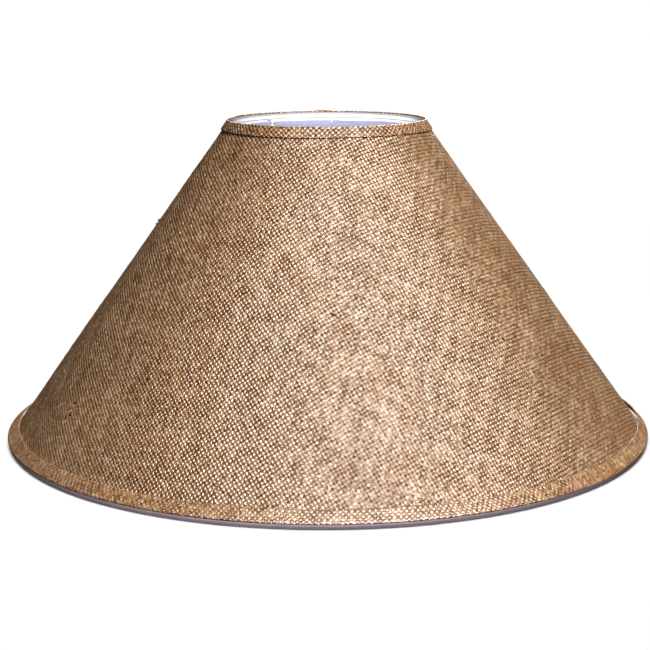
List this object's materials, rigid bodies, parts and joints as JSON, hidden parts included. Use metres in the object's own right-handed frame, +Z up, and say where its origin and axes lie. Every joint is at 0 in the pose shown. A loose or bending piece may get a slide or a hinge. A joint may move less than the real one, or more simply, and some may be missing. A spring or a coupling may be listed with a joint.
{
  "type": "lamp shade",
  "caption": "Wide cone lamp shade of natural jute burlap on a white backing, with burlap trims, wire rings and a recessed washer spider.",
  "frame": {"origin": "centre of the circle that the lower rim stands on", "axes": "+Z up along the cone's axis, -Y towards the viewer, and the sheet's overlap at the back, towards +Y"},
  "size_m": [0.508, 0.508, 0.2464],
  "materials": {
    "jute_burlap": "plain-weave jute, matt, slubby",
    "jute_trim": "folded jute tape, matt",
    "white_styrene": "matt calendered sheet",
    "white_cloth": "fine plain-weave cotton tape",
    "zinc_wire": "zinc plated drawn wire",
    "white_enamel": "baked white enamel, satin gloss",
    "adhesive_tape": "translucent film"
  },
  "bodies": {
    "root": {"burlap_cover": "jute_burlap", "styrene_liner": "white_styrene", "seam_tape": "adhesive_tape", "top_ring": "zinc_wire", "bottom_ring": "zinc_wire", "top_binding": "white_cloth", "bottom_binding": "white_cloth", "top_trim": "jute_trim", "bottom_trim": "jute_trim", "spider_arm_1": "white_enamel", "spider_arm_2": "white_enamel", "spider_arm_3": "white_enamel", "spider_washer": "white_enamel"}
  },
  "joints": []
}
